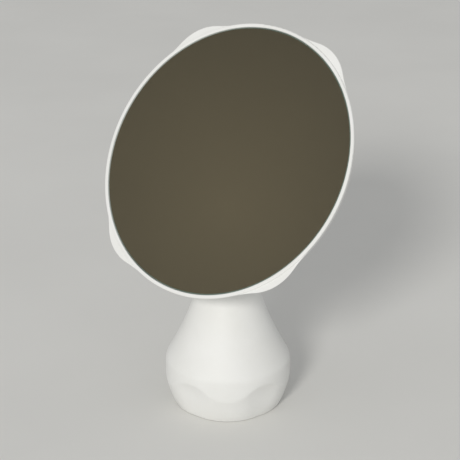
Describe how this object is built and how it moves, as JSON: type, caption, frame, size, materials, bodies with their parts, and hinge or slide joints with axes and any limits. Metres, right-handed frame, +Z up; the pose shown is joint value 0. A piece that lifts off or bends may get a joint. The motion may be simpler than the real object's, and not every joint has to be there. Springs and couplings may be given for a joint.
{
  "type": "table vanity mirror",
  "caption": "Round mirror on a bottle-shaped ceramic base with a scalloped foot; the head swivels on the neck and tilts on a level pin.",
  "frame": {"origin": "centre of the foot pad's underside, on the table, on the base's own axis", "axes": "+Z up; -Y is the base's front; at rest the head is swivelled 36.4 degrees from the front towards -X and leans back 32.8 degrees from upright"},
  "size_m": [0.1789, 0.1559, 0.2803],
  "materials": {
    "ceramic_white": "satin",
    "mirror": "polished",
    "white_metal": "satin",
    "steel": "satin",
    "zinc_steel": "satin",
    "turned_aluminium": "satin",
    "nylon": "satin",
    "black_rubber": "matte",
    "tape": "matte",
    "cast_iron": "matte",
    "felt": "matte"
  },
  "bodies": {
    "base": {"base_shell": "ceramic_white", "neck_plug": "turned_aluminium", "upper_bush": "nylon", "lower_bush": "nylon", "rod_anchor": "steel", "tie_rod": "steel", "ballast_weight": "cast_iron", "base_plate": "zinc_steel", "clamp_washer": "steel", "clamp_nut": "steel", "foot_pad": "felt"},
    "yoke": {"swivel_yoke": "white_metal", "friction_washers": "nylon", "hinge_pin": "steel", "spring_washer": "steel", "cap_nut": "steel", "swivel_spindle": "steel", "wave_washer": "steel", "swivel_lock_nut": "steel"},
    "head": {"mirror_glass": "mirror", "adhesive_ring": "tape", "head_shell": "ceramic_white", "anchor_plate": "zinc_steel", "bracket_gasket": "black_rubber", "hinge_bracket": "white_metal", "eye_bush": "nylon", "bracket_screws": "steel"}
  },
  "joints": [
    {"name": "head_swivel", "type": "hinge", "parent": "base", "child": "yoke", "pos_m": [0, 0, 0.1231], "axis": [0, 0, 1], "continuous": true},
    {"name": "head_tilt", "type": "hinge", "parent": "yoke", "child": "head", "pos_m": [0, 0, 0.1231], "axis": [-0.8049, 0.5934, 0], "range_deg": [-32.8, 37.2]}
  ]
}
